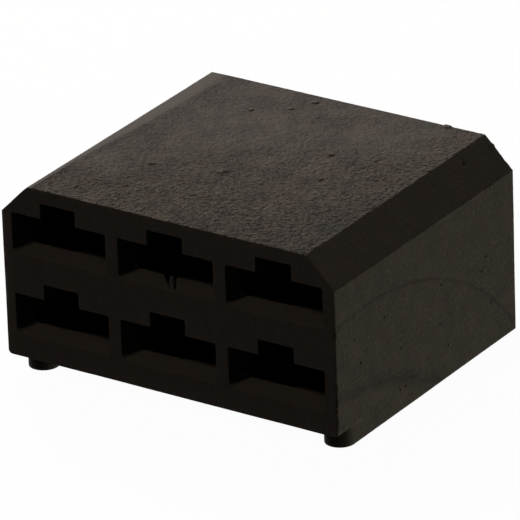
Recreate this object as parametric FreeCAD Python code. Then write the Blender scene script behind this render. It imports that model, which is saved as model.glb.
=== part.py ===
import FreeCAD, Part
import math
import os

# Housing for two rows of blade receptacles, moulded in one piece. X runs along the mating face, which
# looks towards -Y, and the wires leave at +Y. Z = 0 is the underside of the two guide rails, and X = Y = 0
# is the middle of the body. All sizes are in millimetres.

# Crimped receptacle that each cavity takes, and the play that it has there.
receptacle_width = 7.45
receptacle_height = 3.45
lance_width = 2.57
lance_rise = 1.0
receptacle_play = 0.15

# Layout of the cavities, and what each has along its length.
columns = 3
rows = 2
stop_lip_rise = 0.7
stop_lip_depth = 2.2
lance_shoulder_depth = 9.5
lip_corner_radius = 0.4
entry_flare = 0.3
entry_flare_depth = 0.6
cavity_corner_radius = 0.1

# Walls round the cavities.
left_wall = 0.8
right_wall = 0.95
divider = 1.0
floor_wall = 1.0
web = 1.2
roof = 1.0

# Outside of the body.
body_depth = 22.8
top_chamfer = 2.2
bottom_edge_radius = 0.3

# Guide rails under the body. The one at +X lies flush with the body's side, and the one at -X is set in,
# so that the housing goes into its counterpart one way up only.
rail_width = 2.2
rail_drop = 1.25
rail_front_setback = 0.8
left_rail_inset = 0.5

# Worked out from the sizes above.
tunnel_width = receptacle_width + 2 * receptacle_play
tunnel_height = receptacle_height + 2 * receptacle_play
groove_width = lance_width + 2 * receptacle_play
groove_height = lance_rise + receptacle_play
column_pitch = tunnel_width + divider
row_pitch = tunnel_height + groove_height + web
body_width = left_wall + columns * column_pitch - divider + right_wall
body_height = floor_wall + rows * row_pitch - web + roof
front = -body_depth / 2
back = body_depth / 2
past = 1.0


def point(x, y, z):
    return FreeCAD.Vector(x, y, z)


def rounded_corner(last, corner, following, radius):
    """Start, middle and end of the arc that rounds the corner between two neighbours."""
    to_last = (last - corner).normalize()
    to_next = (following - corner).normalize()
    inward = (to_last + to_next).normalize()
    half_angle = to_last.getAngle(to_next) / 2
    reach = radius / math.tan(half_angle)
    depth = radius / math.sin(half_angle) - radius
    return corner + to_last * reach, corner + inward * depth, corner + to_next * reach


def rounded_outline(corners, y):
    """Closed upright outline at Y. Its corners are given in turn as X, Z and the radius that rounds them."""
    places = [point(x, y, z) for x, z, radius in corners]
    arcs = []
    for index, (x, z, radius) in enumerate(corners):
        following = places[(index + 1) % len(places)]
        arcs.append(rounded_corner(places[index - 1], places[index], following, radius))
    edges = []
    for index, (start, middle, end) in enumerate(arcs):
        if end.distanceToPoint(start) > 0:
            edges.append(Part.Arc(start, middle, end).toShape())
        edges.append(Part.makeLine(end, arcs[(index + 1) % len(arcs)][0]))
    return Part.Wire(edges)


def prism(corners, y0, y1):
    """Solid with the same rounded outline from one Y to another."""
    return Part.Face(rounded_outline(corners, y0)).extrude(point(0, y1 - y0, 0))


def body_blank():
    """Body without its cavities: flat sides, long top edges chamfered, long bottom edges rounded."""
    half = body_width / 2
    bottom = rail_drop
    top = bottom + body_height
    corners = [
        (half, bottom, bottom_edge_radius),
        (half, top - top_chamfer, 0),
        (half - top_chamfer, top, 0),
        (-half + top_chamfer, top, 0),
        (-half, top - top_chamfer, 0),
        (-half, bottom, bottom_edge_radius),
    ]
    return prism(corners, front, back)


def tunnel_corners(margin):
    """Section of the tunnel about X = 0, with its floor at Z = 0, grown by a margin on every side."""
    half = tunnel_width / 2 + margin
    return [
        (half, -margin, cavity_corner_radius),
        (half, tunnel_height + margin, cavity_corner_radius),
        (-half, tunnel_height + margin, cavity_corner_radius),
        (-half, -margin, cavity_corner_radius),
    ]


def entry_mouth():
    """Flared mouth at the wire side, which leads a receptacle into its tunnel."""
    narrow = rounded_outline(tunnel_corners(0), back - entry_flare_depth)
    wide = rounded_outline(tunnel_corners(entry_flare), back)
    return Part.makeLoft([narrow, wide], True, True)


def mouth_corners():
    """T-shaped section of the mating mouth: a slot for the blade, and a groove for the lance above it."""
    half = tunnel_width / 2
    groove_half = groove_width / 2
    groove_roof = tunnel_height + groove_height
    radius = cavity_corner_radius
    return [
        (half, stop_lip_rise, lip_corner_radius),
        (half, tunnel_height, radius),
        (groove_half, tunnel_height, 0),
        (groove_half, groove_roof, radius),
        (-groove_half, groove_roof, radius),
        (-groove_half, tunnel_height, 0),
        (-half, tunnel_height, radius),
        (-half, stop_lip_rise, lip_corner_radius),
    ]


def cavity_core():
    """Space inside one cavity, about X = 0, with the tunnel's floor at Z = 0.

    The tunnel is open at the wire side. At the mating side a stop lip stands up from its floor, over which
    the blade enters, and the groove in its roof ends in the shoulder that the receptacle's lance springs
    behind. The groove stays open at the mating face, so that a tool can press the lance down.
    """
    tunnel = prism(tunnel_corners(0), front + stop_lip_depth, back + past)
    mouth = prism(mouth_corners(), front - past, front + lance_shoulder_depth)
    return tunnel.fuse([mouth, entry_mouth()])


def cavity_places():
    """Middle of each cavity's floor, row by row from the bottom."""
    first_x = -body_width / 2 + left_wall + tunnel_width / 2
    first_z = rail_drop + floor_wall
    for row in range(rows):
        for column in range(columns):
            yield point(first_x + column * column_pitch, 0, first_z + row * row_pitch)


def guide_rail(middle_x):
    """Rail under the body, with a half-round front end that leads it into its groove."""
    radius = rail_width / 2
    nose_y = front + rail_front_setback
    left = middle_x - radius
    right = middle_x + radius
    nose = Part.Arc(
        point(right, nose_y + radius, 0),
        point(middle_x, nose_y, 0),
        point(left, nose_y + radius, 0),
    ).toShape()
    edges = [
        nose,
        Part.makeLine(point(left, nose_y + radius, 0), point(left, back, 0)),
        Part.makeLine(point(left, back, 0), point(right, back, 0)),
        Part.makeLine(point(right, back, 0), point(right, nose_y + radius, 0)),
    ]
    # The rail reaches up past the rounded bottom edge, so that its outer wall runs into the body's side.
    return Part.Face(Part.Wire(edges)).extrude(point(0, 0, rail_drop + bottom_edge_radius))


def connector_housing():
    left_rail = guide_rail(-body_width / 2 + left_rail_inset + rail_width / 2)
    right_rail = guide_rail(body_width / 2 - rail_width / 2)
    solid = body_blank().fuse([left_rail, right_rail]).removeSplitter()
    cores = []
    for place in cavity_places():
        core = cavity_core()
        core.translate(place)
        cores.append(core)
    return solid.cut(cores).removeSplitter()


os.makedirs("parts", exist_ok=True)
housing = connector_housing()
housing.exportStep("parts/connector_housing.step")
print("connector_housing", housing.isValid(), len(housing.Solids), "solid, volume", round(housing.Volume, 2))
box = housing.BoundBox
print("size", round(box.XLength, 3), round(box.YLength, 3), round(box.ZLength, 3), "lowest", round(box.ZMin, 4))
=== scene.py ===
import math

import bmesh
import bpy
from mathutils import Euler, Matrix, Vector, kdtree, noise


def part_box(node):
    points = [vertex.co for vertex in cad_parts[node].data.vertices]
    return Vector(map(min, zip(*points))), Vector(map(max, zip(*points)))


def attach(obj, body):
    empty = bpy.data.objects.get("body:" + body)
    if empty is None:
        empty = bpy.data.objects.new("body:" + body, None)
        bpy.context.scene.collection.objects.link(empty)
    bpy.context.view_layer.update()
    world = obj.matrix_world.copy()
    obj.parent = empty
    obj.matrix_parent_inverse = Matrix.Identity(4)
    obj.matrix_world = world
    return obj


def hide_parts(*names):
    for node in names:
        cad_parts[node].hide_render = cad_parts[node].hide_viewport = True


# A housing for two rows of three blade receptacles, moulded in one piece from black plastic. Sizes are in
# metres. X runs along the mating face, which looks towards -Y, and Z = 0 is the guide rails' underside.
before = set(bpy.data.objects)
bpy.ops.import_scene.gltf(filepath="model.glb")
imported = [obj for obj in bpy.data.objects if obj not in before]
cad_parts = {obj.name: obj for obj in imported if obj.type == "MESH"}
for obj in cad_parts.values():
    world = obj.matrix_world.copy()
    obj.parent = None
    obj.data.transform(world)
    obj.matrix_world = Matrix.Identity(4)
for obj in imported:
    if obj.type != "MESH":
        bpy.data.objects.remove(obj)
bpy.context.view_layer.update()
low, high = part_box("connector_housing")
mm = 0.001

# Outside of the moulding.
rail_drop = 1.25 * mm
top_chamfer = 2.2 * mm
bottom_radius = 0.3 * mm
rail_width = 2.2 * mm
rail_setback = 0.8 * mm
left_rail_inset = 0.5 * mm

# Cavities, from the mating mouth to the wire side.
columns = 3
rows = 2
tunnel_width = 7.75 * mm
tunnel_height = 3.75 * mm
groove_width = 2.87 * mm
groove_height = 1.15 * mm
lip_rise = 0.7 * mm
lip_depth = 2.2 * mm
shoulder_depth = 9.5 * mm
flare = 0.3 * mm
flare_depth = 0.6 * mm
corner_radius = 0.1 * mm
lip_corner_radius = 0.4 * mm
column_pitch = 8.75 * mm
row_pitch = 6.1 * mm
left_wall = 0.8 * mm
floor_wall = 1.0 * mm


class Signal:
    """One socket of a node tree. Arithmetic on it adds the Math nodes that work it out."""

    def __init__(self, graph, socket):
        self.graph = graph
        self.socket = socket

    def math(self, operation, *others, clamp=False):
        settings = {"operation": operation, "use_clamp": clamp}
        return self.graph.node("ShaderNodeMath", settings, dict(enumerate((self,) + others)))

    def beside(self, output):
        """Another output of the node that this one comes from."""
        return Signal(self.graph, find_socket(self.socket.node.outputs, output))

    def __add__(self, other):
        return self.math("ADD", other)

    def __sub__(self, other):
        return self.math("SUBTRACT", other)

    def __mul__(self, other):
        return self.math("MULTIPLY", other)

    def __truediv__(self, other):
        return self.math("DIVIDE", other)

    def __rsub__(self, other):
        return self.graph.node("ShaderNodeMath", {"operation": "SUBTRACT"}, {0: other, 1: self})


def find_socket(sockets, key):
    """A socket by its name or its place, among those that the node's settings leave in use."""
    in_use = [socket for socket in sockets if socket.enabled]
    if isinstance(key, int):
        return in_use[key]
    return next(socket for socket in in_use if socket.name == key)


class Graph:
    """A node tree being built."""

    def __init__(self, tree):
        self.tree = tree

    def node(self, kind, settings=None, inputs=None, output=0):
        """Adds a node. Its settings come first, then the values or links of its inputs."""
        made = self.tree.nodes.new(kind)
        for name, setting in (settings or {}).items():
            setattr(made, name, setting)
        for key, given in (inputs or {}).items():
            socket = find_socket(made.inputs, key)
            for one in given if isinstance(given, list) else [given]:
                if isinstance(one, Signal):
                    self.tree.links.new(one.socket, socket)
                else:
                    socket.default_value = one
        return Signal(self, find_socket(made.outputs, output)) if made.outputs else None

    def vector(self, x=0.0, y=0.0, z=0.0):
        return self.node("ShaderNodeCombineXYZ", None, {"X": x, "Y": y, "Z": z})


def empty_graph(owner):
    """The node tree of a material or a world, with no nodes in it."""
    owner.use_nodes = True
    owner.node_tree.nodes.clear()
    return Graph(owner.node_tree)


# Form of the moulding, as a Geometry Nodes tree.

form_sizes = {
    "Body Width": high.x - low.x,
    "Body Depth": high.y - low.y,
    "Body Height": high.z - rail_drop,
    "Top Chamfer": top_chamfer,
    "Bottom Radius": bottom_radius,
    "Rail Drop": rail_drop,
    "Rail Width": rail_width,
    "Rail Setback": rail_setback,
    "Left Rail Inset": left_rail_inset,
    "Columns": columns,
    "Rows": rows,
    "Column Pitch": column_pitch,
    "Row Pitch": row_pitch,
    "Left Wall": left_wall,
    "Floor Wall": floor_wall,
    "Tunnel Width": tunnel_width,
    "Tunnel Height": tunnel_height,
    "Groove Width": groove_width,
    "Groove Height": groove_height,
    "Lip Rise": lip_rise,
    "Lip Depth": lip_depth,
    "Shoulder Depth": shoulder_depth,
    "Flare": flare,
    "Flare Depth": flare_depth,
    "Corner Radius": corner_radius,
    "Lip Corner Radius": lip_corner_radius,
}
past = 1.0 * mm
corner_steps = 5
nose_steps = 16


def named_inputs(graph, sizes):
    """Group inputs with these names and starting values, counts as whole numbers."""
    for name, size in sizes.items():
        kind = "NodeSocketInt" if isinstance(size, int) else "NodeSocketFloat"
        socket = graph.tree.interface.new_socket(name, in_out="INPUT", socket_type=kind)
        socket.default_value = size
    first = graph.node("NodeGroupInput")
    return {name: first.beside(name) for name in sizes}


def outline(graph, width, height, rounds):
    """Rectangle about the origin. Each round is the steps, radius and side, up or down, of its corners."""
    curve = graph.node("GeometryNodeCurvePrimitiveQuadrilateral", None, {"Width": width, "Height": height})
    for steps, radius, side in rounds:
        corner = graph.node("GeometryNodeInputPosition")
        y = graph.node("ShaderNodeSeparateXYZ", None, {0: corner}, "Y")
        chosen = (y * side).math("GREATER_THAN", 0.0)
        inputs = {"Curve": curve, "Count": steps, "Radius": chosen * radius}
        curve = graph.node("GeometryNodeFilletCurve", {"mode": "POLY"}, inputs)
    return curve


def all_round(radius):
    return [(corner_steps, radius, 1), (corner_steps, radius, -1)]


def upright(graph, shape, length):
    """Closed solid that an outline leaves as it rises from Z = 0 to a length."""
    rise = graph.node("GeometryNodeCurvePrimitiveLine", None, {"End": graph.vector(z=length)})
    inputs = {"Curve": rise, "Profile Curve": shape, "Fill Caps": True}
    return graph.node("GeometryNodeCurveToMesh", None, inputs)


def moved(graph, shape, x=0.0, y=0.0, z=0.0, turn=0.0):
    inputs = {
        "Geometry": shape,
        "Translation": graph.vector(x, y, z),
        "Rotation": (turn, 0.0, 0.0),
    }
    return graph.node("GeometryNodeTransform", None, inputs)


def lengthways(graph, shape, start, end, z):
    """Closed solid with an upright outline, from one Y to another, with the outline's middle at Z."""
    return moved(graph, upright(graph, shape, end - start), y=end, z=z, turn=math.pi / 2)


def guide_rail(graph, size, middle_x):
    """Rail under the body: straight sides, a half-round nose and a square back end."""
    length = size["Body Depth"] - size["Rail Setback"]
    nose = [(nose_steps, size["Rail Width"] / 2, -1)]
    plan = outline(graph, size["Rail Width"], length, nose)
    # The rail reaches up past the rounded bottom edge, so that its outer wall runs into the body's side.
    rail = upright(graph, plan, size["Rail Drop"] + size["Bottom Radius"])
    return moved(graph, rail, x=middle_x, y=size["Body Depth"] / 2 - length / 2)


def tapered_mouth(graph, size, back):
    """Mouth at the wire side. It opens to its flare at the back face, and goes on opening past it."""
    section = outline(graph, size["Tunnel Width"], size["Tunnel Height"], all_round(size["Corner Radius"]))
    cone = upright(graph, section, size["Flare Depth"] * 2)
    place = graph.node("GeometryNodeInputPosition")
    z = graph.node("ShaderNodeSeparateXYZ", None, {0: place}, "Z")
    widest = z.math("LESS_THAN", size["Flare Depth"])
    # The cone is twice as long as the flare, so each side of its wide end stands two flares out.
    growth = graph.vector(
        size["Flare"] * 4 / size["Tunnel Width"] + 1,
        size["Flare"] * 4 / size["Tunnel Height"] + 1,
        1.0,
    )
    wider = graph.node("ShaderNodeVectorMath", {"operation": "MULTIPLY"}, {0: place, 1: growth})
    inputs = {"Geometry": cone, "Selection": widest, "Position": wider}
    opened = graph.node("GeometryNodeSetPosition", None, inputs)
    return moved(graph, opened, y=back + size["Flare Depth"], z=size["Tunnel Height"] / 2, turn=math.pi / 2)


def cavity_tools(graph, size):
    """The cutters of one cavity, about X = 0 with the tunnel's floor at Z = 0."""
    front = size["Body Depth"] / -2
    back = size["Body Depth"] / 2
    mouth_start = front - past
    mouth_end = front + size["Shoulder Depth"]
    radius = size["Corner Radius"]
    slot_height = size["Tunnel Height"] - size["Lip Rise"]
    slot_rounds = [(corner_steps, radius, 1), (corner_steps, size["Lip Corner Radius"], -1)]
    slot = outline(graph, size["Tunnel Width"], slot_height, slot_rounds)
    slot_middle = size["Lip Rise"] + slot_height / 2
    # The groove's cutter starts at half the slot's height, so that it meets the slot without a seam.
    groove_section = size["Groove Height"] + slot_height / 2
    groove = outline(graph, size["Groove Width"], groove_section, [(corner_steps, radius, 1)])
    groove_middle = size["Tunnel Height"] + size["Groove Height"] - groove_section / 2
    tunnel = outline(graph, size["Tunnel Width"], size["Tunnel Height"], all_round(radius))
    return [
        lengthways(graph, slot, mouth_start, mouth_end, slot_middle),
        lengthways(graph, groove, mouth_start, mouth_end, groove_middle),
        lengthways(graph, tunnel, front + size["Lip Depth"], back + past, size["Tunnel Height"] / 2),
        tapered_mouth(graph, size, back),
    ]


def cavity_places(graph, size):
    """A point at the middle of each cavity's floor."""
    across = size["Column Pitch"] * (size["Columns"] - 1)
    up = size["Row Pitch"] * (size["Rows"] - 1)
    inputs = {"Size X": across, "Size Y": up, "Vertices X": size["Columns"], "Vertices Y": size["Rows"]}
    grid = graph.node("GeometryNodeMeshGrid", None, inputs)
    x = size["Body Width"] / -2 + size["Left Wall"] + size["Tunnel Width"] / 2 + across / 2
    z = size["Rail Drop"] + size["Floor Wall"] + up / 2
    return moved(graph, grid, x=x, z=z, turn=math.pi / 2)


def form_tree(material):
    tree = bpy.data.node_groups.new("housing form", "GeometryNodeTree")
    graph = Graph(tree)
    size = named_inputs(graph, form_sizes)
    tree.interface.new_socket("Geometry", in_out="OUTPUT", socket_type="NodeSocketGeometry")
    # A one-step round is a chamfer.
    corners = [(1, size["Top Chamfer"], 1), (corner_steps, size["Bottom Radius"], -1)]
    section = outline(graph, size["Body Width"], size["Body Height"], corners)
    middle = size["Rail Drop"] + size["Body Height"] / 2
    half_depth = size["Body Depth"] / 2
    body = lengthways(graph, section, size["Body Depth"] / -2, half_depth, middle)
    side = size["Body Width"] / 2 - size["Rail Width"] / 2
    rails = [guide_rail(graph, size, size["Left Rail Inset"] - side), guide_rail(graph, size, side)]
    exact = {"operation": "UNION", "solver": "EXACT"}
    solid = graph.node("GeometryNodeMeshBoolean", exact, {"Mesh": [body] + rails})
    places = cavity_places(graph, size)
    tools = []
    for tool in cavity_tools(graph, size):
        tools.append(graph.node("GeometryNodeInstanceOnPoints", None, {"Points": places, "Instance": tool}))
    exact = {"operation": "DIFFERENCE", "solver": "EXACT"}
    cut = graph.node("GeometryNodeMeshBoolean", exact, {"Mesh 1": solid, "Mesh 2": tools})
    real = graph.node("GeometryNodeRealizeInstances", None, {"Geometry": cut})
    finished = graph.node("GeometryNodeSetMaterial", None, {"Geometry": real, "Material": material})
    graph.node("NodeGroupOutput", None, {"Geometry": finished})
    return tree


def set_by_modifiers(thing):
    """Makes what the modifiers of an object show its plain mesh, and removes them."""
    bpy.context.view_layer.update()
    depsgraph = bpy.context.evaluated_depsgraph_get()
    mesh = bpy.data.meshes.new_from_object(thing.evaluated_get(depsgraph))
    thing.modifiers.clear()
    thing.data = mesh


def from_tree(name, tree, settings):
    """Plain mesh object that a Geometry Nodes tree makes, with its inputs set."""
    seed = bpy.data.objects.new(name, bpy.data.meshes.new(name))
    bpy.context.scene.collection.objects.link(seed)
    modifier = seed.modifiers.new("form", "NODES")
    modifier.node_group = tree
    for item in tree.interface.items_tree:
        if item.in_out == "INPUT" and item.name in settings:
            modifier[item.identifier] = settings[item.name]
    set_by_modifiers(seed)
    return seed


# Soft edges.

edge_softness = 0.06 * mm
edge_segments = 2
edge_angle = math.radians(30)
weld_distance = 0.0001 * mm
flat_angle = math.radians(0.5)


def softened(housing):
    """Rounds every sharp edge a little, with flat faces left whole."""
    bm = bmesh.new()
    bm.from_mesh(housing.data)
    bmesh.ops.remove_doubles(bm, verts=bm.verts, dist=weld_distance)
    bmesh.ops.dissolve_limit(bm, angle_limit=flat_angle, verts=bm.verts, edges=bm.edges)
    bm.to_mesh(housing.data)
    bm.free()
    bevel = housing.modifiers.new("soft edges", "BEVEL")
    bevel.width = edge_softness
    bevel.segments = edge_segments
    bevel.limit_method = "ANGLE"
    bevel.angle_limit = edge_angle
    bevel.use_clamp_overlap = True
    set_by_modifiers(housing)


# Where a place lies on the skin. A face looks along an axis when its normal follows it by more than the
# first share, and it is square to it when it follows by more than the second.

facing = 0.9
square_on = 0.98
chamfer_play = 0.05
skin_depth = edge_softness * 1.01


def outer_planes(place):
    """How many of the outer skin's planes a place lies on, their soft edges included."""
    to_side = high.x - abs(place.x)
    to_end = high.y - abs(place.y)
    to_top = high.z - place.z
    to_bottom = place.z - rail_drop
    to_chamfer = to_side + to_top - top_chamfer
    return sum(distance < skin_depth for distance in (to_side, to_end, to_top, to_bottom, to_chamfer))


def is_outside(place):
    return outer_planes(place) > 0


def on_top(place, normal):
    return normal.z > facing and place.z > high.z - top_chamfer


def on_side(place, normal):
    return abs(normal.x) > facing and abs(place.x) > high.x - edge_softness


def on_soft_edge(place, normal):
    """Whether a place is on a soft edge between two of the outer planes."""
    squareness = max(abs(normal.x), abs(normal.y), abs(normal.z))
    on_chamfer = abs(abs(normal.x) - abs(normal.z)) < chamfer_play and abs(normal.y) < chamfer_play
    return outer_planes(place) > 1 and squareness < square_on and not on_chamfer


def step_between(start, end, value):
    """Rises smoothly from 0 to 1 as a value goes from the start to the end, which may be the lower one."""
    share = min(1.0, max(0.0, (value - start) / (end - start)))
    return share * share * (3 - 2 * share)


# Marks that the mould and its use left. Each has its middle, its radius and its height in millimetres:
# X and Y on the top face, and Y and Z on the right side and the right chamfer. A pip rises from its rim to
# its flat top between two shares of its radius.

pip_slope = (1.0, 0.5)
top_pips = [
    (-8.5, -9.65, 0.25, 0.08),
    (-5.6, -7.9, 0.27, 0.08),
    (-0.7, -6.9, 0.25, 0.08),
    (-6.1, -3.9, 0.34, 0.10),
    (-1.1, -2.7, 0.48, 0.12),
    (1.5, 0.6, 0.28, 0.06),
    (5.5, -0.5, 0.28, 0.11),
    (3.9, 3.3, 0.30, 0.12),
    (7.1, 2.9, 0.24, 0.06),
    (7.1, 4.0, 0.24, 0.06),
    (-5.2, 7.1, 0.28, 0.09),
    (-2.8, 8.6, 0.27, 0.08),
    (-1.9, 10.3, 0.32, 0.11),
    (8.3, 11.3, 0.40, 0.08),
]
side_marks = [
    (-9.1, 7.55, 0.14, -0.077),
    (-9.2, 9.35, 0.12, -0.066),
    (-4.3, 9.75, 0.12, -0.066),
    (-5.4, 7.75, 0.13, -0.077),
    (-8.4, 5.65, 0.16, -0.099),
    (-3.4, 4.65, 0.13, -0.077),
    (1.6, 4.35, 0.14, -0.088),
    (1.8, 7.25, 0.15, -0.099),
    (-2.9, 1.55, 0.14, -0.099),
    (-3.6, 1.55, 0.12, 0.066),
    (0.0, 2.45, 0.12, 0.066),
    (2.6, 2.35, 0.11, 0.066),
    (8.3, 3.25, 0.13, 0.066),
    (7.7, 6.95, 0.14, 0.077),
    (7.1, 6.05, 0.12, 0.066),
]
chamfer_marks = [(7.6, 13.64, 0.28, -0.150), (3.6, 13.57, 0.13, -0.060), (11.2, 13.6, 0.30, 0.080)]


def all_marks():
    """Every mark as its middle, radius and height, on the face that carries it."""
    marks = []
    for x, y, radius, height in top_pips:
        marks.append((Vector((x * mm, y * mm, high.z)), radius * mm, height * mm))
    for y, z, radius, height in side_marks:
        marks.append((Vector((high.x, y * mm, z * mm)), radius * mm, height * mm))
    for y, z, radius, height in chamfer_marks:
        x = high.x - top_chamfer + (high.z - z * mm)
        marks.append((Vector((x, y * mm, z * mm)), radius * mm, height * mm))
    return marks


def finder_of(marks):
    finder = kdtree.KDTree(len(marks))
    for index, mark in enumerate(marks):
        finder.insert(mark[0], index)
    finder.balance()
    return finder


marks = all_marks()
mark_finder = finder_of(marks)


def nearest_mark(place):
    """How far a place is from the middle of its nearest mark, in radii, and that mark's height."""
    middle, index, distance = mark_finder.find(place)
    return distance / marks[index][1], marks[index][2]


def mark_relief(place):
    """How far the nearest mark stands out at a place: pips have flat tops, and pits are rounded."""
    share, height = nearest_mark(place)
    if share >= 1:
        return 0.0
    return height * (step_between(*pip_slope, share) if height > 0 else (1 - share * share) ** 2)


# Nick in the stop lip of the upper middle cavity, from the lip's back edge to its front one: a wide cut
# on the left that tapers to a point, and a narrow one on the right, with a sliver left standing between.

nick_back = Vector((-1.05, -9.25, 0.0)) * mm
nick_front = Vector((0.15, -11.0, 0.0)) * mm
nick_overrun = 0.5
nick_sliver = 0.20 * mm
nick_left_cut = 0.40 * mm
nick_right_cut = 0.24 * mm
nick_left_fading = 0.9
nick_right_fading = 0.5
nick_wall_slope = 1.6
nick_depth = 0.45 * mm
# Painted shade in the nick's cuts.
nick_shade = 0.5
nick_patch = [(-1.9 * mm, 0.7 * mm), (low.y, low.y + lip_depth)]
lip_top = rail_drop + floor_wall + row_pitch + lip_rise
lip_reach = 0.4 * mm


def on_nicked_lip(place):
    along_lip = abs(place.x) < column_pitch / 2 and place.y < low.y + lip_depth + edge_softness
    return along_lip and abs(place.z - lip_top) < lip_reach


def near_nick(place):
    left, right = nick_patch[0]
    return left < place.x < right and on_nicked_lip(place)


def nick(place):
    """How deep the nick is at a place on the lip, from 0 to 1."""
    along = nick_front - nick_back
    flat = Vector((place.x, place.y, 0.0)) - nick_back
    share = flat.dot(along) / along.length_squared
    aside = flat.cross(along).z / along.length
    if not -nick_overrun < share < 1:
        return 0.0
    forward = max(0.0, share)
    width = nick_left_cut * (1 - forward) if aside > 0 else nick_right_cut
    fading = nick_left_fading if aside > 0 else nick_right_fading
    into_cut = (abs(aside) - nick_sliver / 2) / width
    if not 0 < into_cut < 1:
        return 0.0
    return min(1.0, (1 - abs(2 * into_cut - 1)) * nick_wall_slope) * (1 - fading * forward)


# Smooth strip along the top face's left edge. It widens towards the back.

band_width = 1.4 * mm
band_front_share = 0.25
band_widening = (-9 * mm, 7 * mm)
band_drop = 0.03 * mm


def across_band(place):
    """How far a place on the top face is from its left edge, as a share of the band's width there."""
    inwards = abs(place.x - (low.x + top_chamfer))
    widening = step_between(*band_widening, place.y)
    return inwards / (band_width * (band_front_share + (1 - band_front_share) * widening))


def band_relief(place):
    return -band_drop * max(0.0, 1 - across_band(place)) ** 2


# Grain of the mould, as a share of its coarsest. On the top face it runs from fine at the back left to
# coarse at the front right, and drifts.

finest_top_grain = 0.36
side_grain = 0.25
plain_grain = 0.12
band_grain = 0.08
band_grain_end = (0.7, 0.95)
coarsening = (9 * mm, -11 * mm)
coarsening_slant = 0.8
grain_drift = 0.4
grain_drift_length = 6 * mm


def grain_share(place, normal):
    """How coarse the grain is: faint on the ends, the chamfers and the smooth band."""
    if on_top(place, normal):
        drift = noise.noise(place / grain_drift_length) * grain_drift
        forward = step_between(*coarsening, place.y - place.x * coarsening_slant) + drift
        coarse = finest_top_grain + (1 - finest_top_grain) * min(1.0, max(0.0, forward))
        past_band = step_between(*band_grain_end, across_band(place))
        return coarse * (band_grain + (1 - band_grain) * past_band)
    return side_grain if on_side(place, normal) else plain_grain


# Tone of the skin against the plastic's mean one, from -1 to 1. Places by the band are shares of its width.
# Part of this tone is painted light: a sheen, highlights, and light on the ends' left wall and bottom.

# Painted sheen on the smooth band at the top face's left edge.
band_sheen_tone = 0.36
band_end = (0.84, 0.98)
beside_band_tone = -0.22
beside_band_start = (0.9, 1.1)
beside_band_end = (1.2, 2.6)
streak_tone = 0.14
streak_width = 1.8 * mm
streak_length = 12 * mm
front_right_tone = -0.28
front_right_reach = (6 * mm, 20 * mm)
back_left_tone = -0.09
back_left_reach = (2 * mm, 16 * mm)
# Painted highlight on the flat tops of the pips.
pip_top_highlight_tone = 0.55
pip_top_highlight_rim = (0.95, 0.7)
# Painted highlight along the bottom edge over the right rail's nose.
nose_edge_highlight_tone = 0.5
nose_edge_highlight_length = 3.1 * mm
nose_edge_highlight_heights = (0.05 * mm, 0.25 * mm)
end_tone = -0.28
# Painted light on the ends' left wall and along their bottom.
left_wall_painted_light = 0.22
left_wall_reach = (low.x + 1.2 * mm, low.x + 0.4 * mm)
bottom_painted_light = 0.132
bottom_wall_reach = (2.6 * mm, 1.6 * mm)
plain_tone = -0.22


def top_tone(place):
    """Palest where a sheen is painted on the band and highlights on the pips' tops; darker beside the band
    and to the front right.
    """
    across = across_band(place)
    # Painted sheen along the smooth band.
    tone = band_sheen_tone * (1 - step_between(*band_end, across))
    beside = step_between(*beside_band_start, across) - step_between(*beside_band_end, across)
    tone += beside_band_tone * beside
    tone += streak_tone * noise.noise(Vector((place.x / streak_width, place.y / streak_length, 0.0)))
    tone += front_right_tone * step_between(*front_right_reach, place.x - place.y)
    tone += back_left_tone * step_between(*back_left_reach, place.y - place.x)
    # Painted highlight on each pip's top.
    return tone + pip_top_highlight_tone * step_between(*pip_top_highlight_rim, nearest_mark(place)[0])


def side_tone(place):
    """Even, but for a painted highlight on the edge over the right rail's nose."""
    by_nose = place.x > 0 and place.y < low.y + nose_edge_highlight_length
    lowest, highest = nose_edge_highlight_heights
    return nose_edge_highlight_tone if by_nose and lowest < place.z - rail_drop < highest else 0.0


def tone_of_end(place):
    """Dark, with painted light making it a little paler on the left wall and along the bottom."""
    on_left_wall = left_wall_painted_light * step_between(*left_wall_reach, place.x)
    along_bottom = bottom_painted_light * step_between(*bottom_wall_reach, place.z)
    return end_tone + max(on_left_wall, along_bottom)


def skin_tone(place, normal):
    if on_top(place, normal):
        return top_tone(place)
    if on_side(place, normal):
        return side_tone(place)
    return tone_of_end(place) if abs(normal.y) > facing else plain_tone


# Relief of the whole skin: grain, slow waves, wear on the edges, and a flow line on the right side.

grain_height = 0.028 * mm
grain_length = 0.27 * mm
finer_grain_share = 0.6
wave_height = 0.012 * mm
wave_length = 4.0 * mm
wear_depth = 0.08 * mm
wear_length = 0.45 * mm
wear_threshold = 0.15
arc_centre = Vector((high.x, -7.4 * mm, -14.15 * mm))
arc_radius = 23.7 * mm
arc_width = 0.15 * mm
arc_depth = 0.012 * mm


def relief(place, normal):
    """How far the skin stands out of its plane at a place."""
    out = noise.noise(place / grain_length) + finer_grain_share * noise.noise(place / (grain_length / 2))
    out *= grain_height * grain_share(place, normal)
    out += noise.noise(place / wave_length) * wave_height
    if on_soft_edge(place, normal):
        out -= wear_depth * max(0.0, noise.noise(place / wear_length) - wear_threshold)
    if normal.x > 0 and on_side(place, normal):
        off_arc = abs((place - arc_centre).length - arc_radius)
        out -= arc_depth * (1 - step_between(0.0, arc_width, off_arc))
    return out + mark_relief(place)


# Net of faces that carries the relief.

net_spacing = 0.3 * mm
nick_spacing = 0.05 * mm
mark_reaches = (1.5, 1.2)


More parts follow.
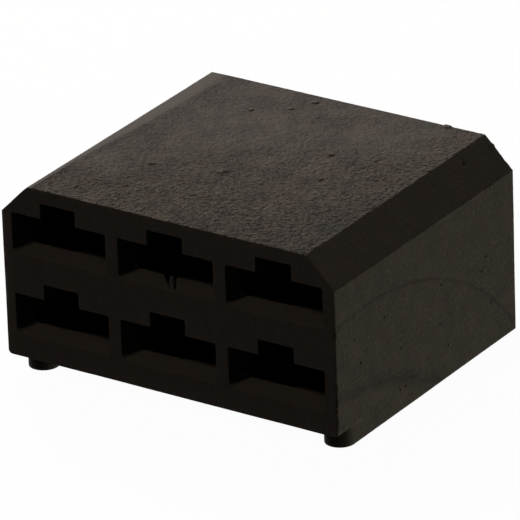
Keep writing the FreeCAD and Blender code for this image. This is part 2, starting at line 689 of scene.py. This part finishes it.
def cut_across(bm, axis, cuts, chosen):
    """Cuts the chosen faces along a plane at each of the given places on an axis."""
    normal = Vector([float(axis == other) for other in range(3)])
    for at in cuts:
        faces = set()
        for face in bm.faces:
            places = [vert.co[axis] for vert in face.verts]
            if min(places) < at < max(places) and chosen(face.calc_center_median()):
                faces.add(face)
        edges = {edge for face in faces for edge in face.edges}
        verts = {vert for face in faces for vert in face.verts}
        geometry = list(verts) + list(edges) + list(faces)
        bmesh.ops.bisect_plane(bm, geom=geometry, dist=weld_distance, plane_co=normal * at, plane_no=normal)


def even_cuts(start, end, spacing):
    count = round((end - start) / spacing)
    return [start + (end - start) * index / count for index in range(1, count)]


def refine(bm, chosen):
    """Halves the faces whose centres are chosen."""
    edges = {edge for face in bm.faces if chosen(face.calc_center_median()) for edge in face.edges}
    bmesh.ops.subdivide_edges(bm, edges=list(edges), cuts=1, use_grid_fill=True)


def cut_skin(bm):
    """Cuts the outer skin into a net, finer on the top, on the right side and near the marks and nick."""
    for axis in range(3):
        cut_across(bm, axis, even_cuts(low[axis], high[axis], net_spacing), is_outside)
    cut_across(bm, 0, nick_patch[0], on_nicked_lip)
    for axis, (start, end) in enumerate(nick_patch):
        cut_across(bm, axis, even_cuts(start, end, nick_spacing), near_nick)
    refine(bm, lambda centre: centre.z > high.z - edge_softness)
    refine(bm, lambda centre: centre.x > high.x - edge_softness)
    for reach in mark_reaches:
        refine(bm, lambda centre: nearest_mark(centre)[0] < reach)


def mark_faces(bm):
    """Stores on each face how coarse its grain is and how pale, painted light and shade included, for the
    material.
    """
    grain = bm.faces.layers.float.new("grain")
    pale = bm.faces.layers.float.new("pale")
    for face in bm.faces:
        centre = face.calc_center_median()
        if is_outside(centre):
            face[grain] = grain_share(centre, face.normal)
            face[pale] = skin_tone(centre, face.normal)
        elif near_nick(centre):
            # Painted shade darkens the nick's cuts.
            face[pale] = -nick_shade * nick(centre)


def skin_moves(bm):
    """Each point of the skin and the nick, with how far it moves."""
    moves = []
    for vert in bm.verts:
        place = vert.co
        if near_nick(place):
            moves.append((vert, Vector((0.0, 0.0, -nick_depth * nick(place)))))
        elif is_outside(place):
            move = vert.normal * relief(place, vert.normal)
            if place.z > high.z - top_chamfer:
                move.z += band_relief(place)
            moves.append((vert, move))
    return moves


def shaped(housing):
    """Gives the softened moulding its net of faces, and the relief, marks and nick on it."""
    bm = bmesh.new()
    bm.from_mesh(housing.data)
    cut_skin(bm)
    bm.normal_update()
    mark_faces(bm)
    for vert, move in skin_moves(bm):
        vert.co = vert.co + move
        vert.co.z = max(vert.co.z, low.z)
    bm.normal_update()
    for face in bm.faces:
        face.smooth = True
    bm.to_mesh(housing.data)
    bm.free()
    # Large faces keep their own direction up to the narrow faces of a soft edge.
    housing.modifiers.new("steady shading", "WEIGHTED_NORMAL")
    set_by_modifiers(housing)


# Finish. Places and widths on the skin are in millimetres here, and noise has so many waves a millimetre.

dark_plastic = (0.0010, 0.0008, 0.0007, 1.0)
pale_plastic = (0.0706, 0.0594, 0.0502, 1.0)
red_cast = (1.0, 0.905, 0.925, 1.0)
green_cast = (0.93, 1.0, 0.955, 1.0)
cast_waves = 0.8
cast_contrast = 3.0
cloud_waves = 0.6
cloud_start = 0.2
cloud_rise = 8.0
cloud_fullness = 1.9
least_cloud = 0.25
speckle_waves = 3.2
sand_waves = 6.0
sand_share = 0.7
fine_rise = 2.4
least_fine = 0.15
# Glints below are painted highlights.
glint_waves = 5.5
glint_threshold = 0.13
glint_onset = 20
glint_limit = 3.0
glint_rise = 3
# Pits below are painted shade, with no recess under them.
pit_waves = 4.6
pit_threshold = 0.12
pit_shade_strength = 3
bump_height = 0.24 * mm
bump_sand_share = 0.4
bump_rise = 0.9
least_bump = 0.03
plain_roughness = 0.5
grain_roughness = 0.15
speckle_roughness = 0.15
gloss = 0.02
flow_line_width = 0.22
flow_line_tone = -0.4
flow_mark_centre = (high.x / mm, -12.9, -23.95)
flow_mark_radius = 28.0
flow_mark_width = 0.75
flow_mark_tone = -0.45
under_mark_radius = 26.9
under_mark_width = 0.9
under_mark_tone = 0.15
soft_patch_centre = (high.x / mm, -6.4, 1.1)
soft_patch_width = 1.2
soft_patch_tone = -0.3
right_skin = high.x / mm - 0.1


def near_circle(graph, place, centre, radius, width):
    """1 on a circle about a centre, falling to 0 at a distance of the width from it."""
    offset = graph.node("ShaderNodeVectorMath", {"operation": "SUBTRACT"}, {0: place, 1: centre})
    length = graph.node("ShaderNodeVectorMath", {"operation": "LENGTH"}, {0: offset}, "Value")
    off = (length - radius).math("ABSOLUTE")
    return (1 - off / width).math("MAXIMUM", 0.0)


def noise_at(graph, place, waves, detail):
    """Noise about zero."""
    inputs = {"Vector": place, "Scale": waves, "Detail": detail}
    return graph.node("ShaderNodeTexNoise", None, inputs, "Fac") - 0.5


def peaks_at(graph, place, waves, threshold):
    """What stands out of smooth noise over a threshold."""
    return (noise_at(graph, place, waves, 0.0) - threshold).math("MAXIMUM", 0.0)


def mixed(graph, factor, first, second, blend="MIX"):
    settings = {"data_type": "RGBA", "blend_type": blend}
    return graph.node("ShaderNodeMix", settings, {"Factor": factor, "A": first, "B": second}, "Result")


def flow_tone(graph, place):
    """What the flow line, the wider flow mark and a soft patch under it add on the right side."""
    line = near_circle(graph, place, tuple(arc_centre / mm), arc_radius / mm, flow_line_width)
    mark = near_circle(graph, place, flow_mark_centre, flow_mark_radius, flow_mark_width)
    under_mark = near_circle(graph, place, flow_mark_centre, under_mark_radius, under_mark_width)
    patch = near_circle(graph, place, soft_patch_centre, 0.0, soft_patch_width)
    x = graph.node("ShaderNodeSeparateXYZ", None, {0: place}, "X")
    on_right = (x - right_skin).math("GREATER_THAN", 0.0)
    marked = line * flow_line_tone + mark * flow_mark_tone
    beneath = under_mark * under_mark_tone + patch * soft_patch_tone
    return (marked + beneath) * on_right


def grain_tone(graph, place, grain, speckle, sand):
    """Clouds, speckle, glints of painted highlight and pits of painted shade, all stronger where the grain
    is coarser.
    """
    clouds = noise_at(graph, place, cloud_waves, 4.0)
    # Finely grained parts of the top face have the strongest clouds, and the smooth band has the weakest.
    broad = (grain - cloud_start).math("MULTIPLY", cloud_rise, clamp=True) * (cloud_fullness - grain)
    coarse = (grain - plain_grain).math("MAXIMUM", 0.0)
    glint_strength = (coarse * glint_onset).math("MINIMUM", glint_limit) + grain * glint_rise
    # Painted highlights as pale glints.
    glints = peaks_at(graph, place, glint_waves, glint_threshold) * glint_strength
    # Painted shade as dark pits.
    pits = peaks_at(graph, place, pit_waves, pit_threshold) * coarse * pit_shade_strength
    fine = (speckle + sand * sand_share) * (grain * fine_rise + least_fine)
    return clouds * (broad + least_cloud) + fine + glints - pits


def plastic_colour(graph, place, tone):
    """Black plastic at a tone from -1 to 1, with a faint red or green cast that drifts."""
    share = (tone + 1.0).math("MULTIPLY", 0.5, clamp=True)
    plain = mixed(graph, share, dark_plastic, pale_plastic)
    drift = noise_at(graph, place, cast_waves, 3.0) * cast_contrast + 0.5
    cast = mixed(graph, drift, red_cast, green_cast)
    return mixed(graph, 1.0, plain, cast, "MULTIPLY")


def moulded_plastic():
    material = bpy.data.materials.new("black moulded plastic")
    graph = empty_graph(material)
    coordinates = graph.node("ShaderNodeTexCoord", None, None, "Object")
    place = graph.node("ShaderNodeVectorMath", {"operation": "SCALE"}, {0: coordinates, "Scale": 1 / mm})
    grain = graph.node("ShaderNodeAttribute", {"attribute_name": "grain"}, None, "Fac")
    pale = graph.node("ShaderNodeAttribute", {"attribute_name": "pale"}, None, "Fac")
    speckle = noise_at(graph, place, speckle_waves, 2.0)
    sand = noise_at(graph, place, sand_waves, 1.0)
    # The stored paleness includes painted light and shade, and the glints and pits are painted too.
    tone = grain_tone(graph, place, grain, speckle, sand) + pale + flow_tone(graph, place)
    height = (speckle + sand * bump_sand_share) * (grain * bump_rise + least_bump) * bump_height
    bump = graph.node("ShaderNodeBump", None, {"Strength": 1.0, "Distance": 1.0, "Height": height}, "Normal")
    inputs = {
        "Base Color": plastic_colour(graph, place, tone),
        "Roughness": grain * grain_roughness + plain_roughness + speckle * speckle_roughness,
        "Specular IOR Level": gloss,
        "Normal": bump,
    }
    surface = graph.node("ShaderNodeBsdfPrincipled", None, inputs, "BSDF")
    graph.node("ShaderNodeOutputMaterial", None, {"Surface": surface})
    return material


# Studio: a white table, soft light, and a long lens that looks from the front right.

floor_reach = 1.5
table_shown_shade = 0.8
table_bounce_shade = 0.04
table_whiteness = 0.97
white = (1.0, 1.0, 1.0, 1.0)
ambient_colour = (1.0, 0.95, 0.88, 1.0)
ambient_level = 0.015
lamp_distance = 0.6
view_azimuth = math.radians(34.08)
view_elevation = math.radians(24.73)
view_roll = math.radians(-1.99)
view_distance = 0.4683
view_target = Vector((0.00001, -0.00009, 0.0068))
view_lens = 470.7
sensor_width = 36.0
nearest_shown = 0.01


def seen_directly(graph):
    """1 for rays that show the background: the camera's, and those that gloss and glass send on."""
    camera = graph.node("ShaderNodeLightPath", None, None, "Is Camera Ray")
    shown = camera.math("MAXIMUM", camera.beside("Is Glossy Ray"))
    return shown.math("MAXIMUM", camera.beside("Is Transmission Ray"))


def white_table():
    material = bpy.data.materials.new("white table")
    graph = empty_graph(material)
    seen = seen_directly(graph)
    shade = seen * (table_shown_shade - table_bounce_shade) + table_bounce_shade
    colour = graph.node("ShaderNodeCombineColor", None, {"Red": shade, "Green": shade, "Blue": shade})
    matt = graph.node("ShaderNodeBsdfDiffuse", None, {"Color": colour})
    shown = graph.node("ShaderNodeEmission", None, {"Color": white, "Strength": 1.0})
    surface = graph.node("ShaderNodeMixShader", None, {0: seen * table_whiteness, 1: matt, 2: shown})
    graph.node("ShaderNodeOutputMaterial", None, {"Surface": surface})
    return material


def lay_floor():
    mesh = bpy.data.meshes.new("floor")
    corners = [(-floor_reach, -floor_reach, 0.0), (floor_reach, -floor_reach, 0.0)]
    corners += [(floor_reach, floor_reach, 0.0), (-floor_reach, floor_reach, 0.0)]
    mesh.from_pydata(corners, [], [(0, 1, 2, 3)])
    mesh.materials.append(white_table())
    floor = bpy.data.objects.new("floor", mesh)
    bpy.context.scene.collection.objects.link(floor)
    # The lamp under the table shines through it.
    floor.visible_shadow = False


def light_world():
    world = bpy.data.worlds.new("studio")
    graph = empty_graph(world)
    ambient = graph.node("ShaderNodeBackground", None, {"Color": ambient_colour, "Strength": ambient_level})
    shown = graph.node("ShaderNodeBackground", None, {"Color": white, "Strength": 1.0})
    surface = graph.node("ShaderNodeMixShader", None, {0: seen_directly(graph), 1: ambient, 2: shown})
    graph.node("ShaderNodeOutputWorld", None, {"Surface": surface})
    bpy.context.scene.world = world


def soft_light(name, direction, size, level, colour):
    """Square lamp that lights a face turned to it at the given level, where 1 shows colours as written."""
    lamp = bpy.data.lights.new(name, "AREA")
    lamp.size = size
    lamp.color = colour
    lamp.energy = level * math.pi ** 2 * lamp_distance ** 2
    lamp_object = bpy.data.objects.new(name, lamp)
    towards = Vector(direction).normalized()
    lamp_object.location = view_target + towards * lamp_distance
    lamp_object.rotation_euler = towards.to_track_quat("Z", "Y").to_euler()
    bpy.context.scene.collection.objects.link(lamp_object)


def place_camera():
    camera = bpy.data.cameras.new("camera")
    camera.lens = view_lens
    camera.sensor_width = sensor_width
    camera.sensor_fit = "HORIZONTAL"
    camera.clip_start = nearest_shown
    camera_object = bpy.data.objects.new("camera", camera)
    turn = Euler((math.pi / 2 - view_elevation, 0.0, view_azimuth)).to_matrix()
    turn = turn @ Matrix.Rotation(view_roll, 3, "Z")
    camera_object.rotation_euler = turn.to_euler()
    camera_object.location = view_target + turn @ Vector((0.0, 0.0, view_distance))
    bpy.context.scene.collection.objects.link(camera_object)
    bpy.context.scene.camera = camera_object


bpy.context.scene.view_settings.view_transform = "Standard"
place_camera()
light_world()
lay_floor()
soft_light(
    "large lamp behind",
    direction=(-0.6, 0.5, 0.62),
    size=0.35,
    level=1.4,
    colour=(1.0, 0.935, 0.87),
)
soft_light(
    "small lamp in front",
    direction=(-0.10, -0.587, 0.803),
    size=0.05,
    level=0.29,
    colour=(1.0, 0.93, 0.82),
)
# This lamp stands for the light that a white table throws back at the housing's side.
soft_light(
    "light from the table",
    direction=(0.765, 0.43, -0.478),
    size=0.4,
    level=0.63,
    colour=(0.99, 0.98, 0.77),
)

housing = from_tree("housing", form_tree(moulded_plastic()), form_sizes)
softened(housing)
shaped(housing)
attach(housing, "root")
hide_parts("connector_housing")
